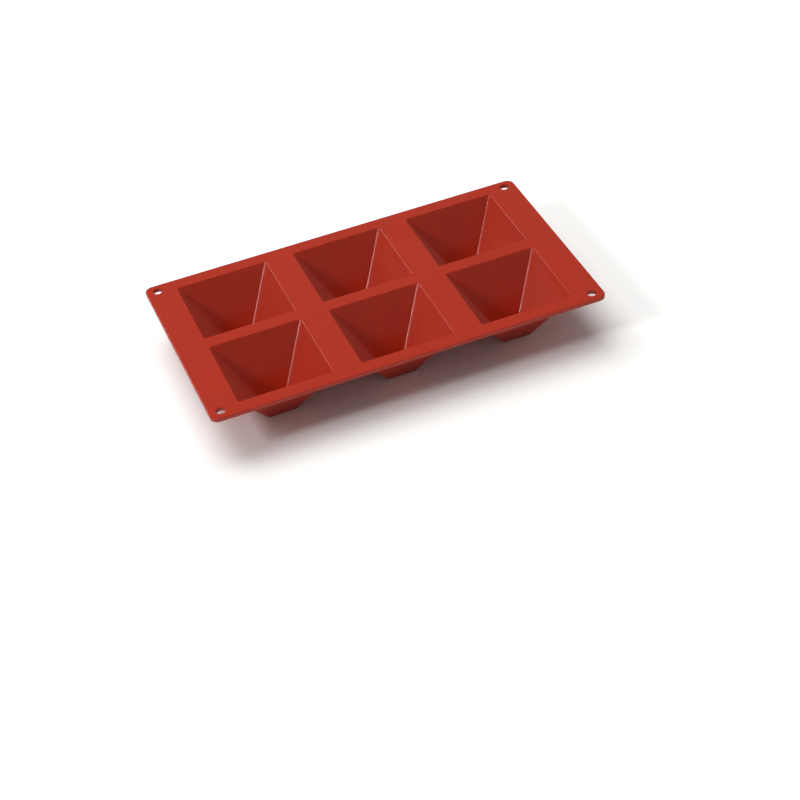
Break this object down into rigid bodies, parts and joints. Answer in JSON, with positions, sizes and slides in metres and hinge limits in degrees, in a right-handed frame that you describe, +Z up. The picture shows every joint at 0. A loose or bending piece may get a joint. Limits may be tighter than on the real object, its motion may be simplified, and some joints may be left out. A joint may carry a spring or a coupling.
{
  "type": "resin casting mould",
  "caption": "Flexible silicone casting and baking mould: a flat rectangular sheet with blunt square pyramid cavities, a thicker rim and a hole in each corner.",
  "frame": {"origin": "centre of the mould in plan, on the surface that its cavity floors stand on", "axes": "+X along the long side, +Y towards the back row of cavities, +Z up, out of the cavity mouths"},
  "size_m": [0.3, 0.175, 0.0418],
  "materials": {
    "silicone": "matt moulded silicone rubber, brick red"
  },
  "bodies": {
    "middle_panel": {"deck_middle": "silicone", "flex_strip_left": "silicone", "flex_strip_right": "silicone", "rim_front_middle": "silicone", "rim_back_middle": "silicone", "cup_front_middle": "silicone", "cup_back_middle": "silicone"},
    "left_panel": {"deck_left": "silicone", "rim_left_end": "silicone", "rim_front_left": "silicone", "rim_back_left": "silicone", "corner_front_left": "silicone", "corner_back_left": "silicone", "cup_front_left": "silicone", "cup_back_left": "silicone"},
    "right_panel": {"deck_right": "silicone", "rim_right_end": "silicone", "rim_front_right": "silicone", "rim_back_right": "silicone", "corner_front_right": "silicone", "corner_back_right": "silicone", "cup_front_right": "silicone", "cup_back_right": "silicone"}
  },
  "joints": [
    {"name": "flex_left", "type": "hinge", "parent": "middle_panel", "child": "left_panel", "pos_m": [-0.046, 0, 0.0409], "axis": [0, 1, 0], "range_deg": [-60, 90], "stiffness_Nm_per_rad": 0.05, "deforming": ["flex_strip_left"]},
    {"name": "flex_right", "type": "hinge", "parent": "middle_panel", "child": "right_panel", "pos_m": [0.046, 0, 0.0409], "axis": [0, -1, 0], "range_deg": [-60, 90], "stiffness_Nm_per_rad": 0.05, "deforming": ["flex_strip_right"]}
  ]
}
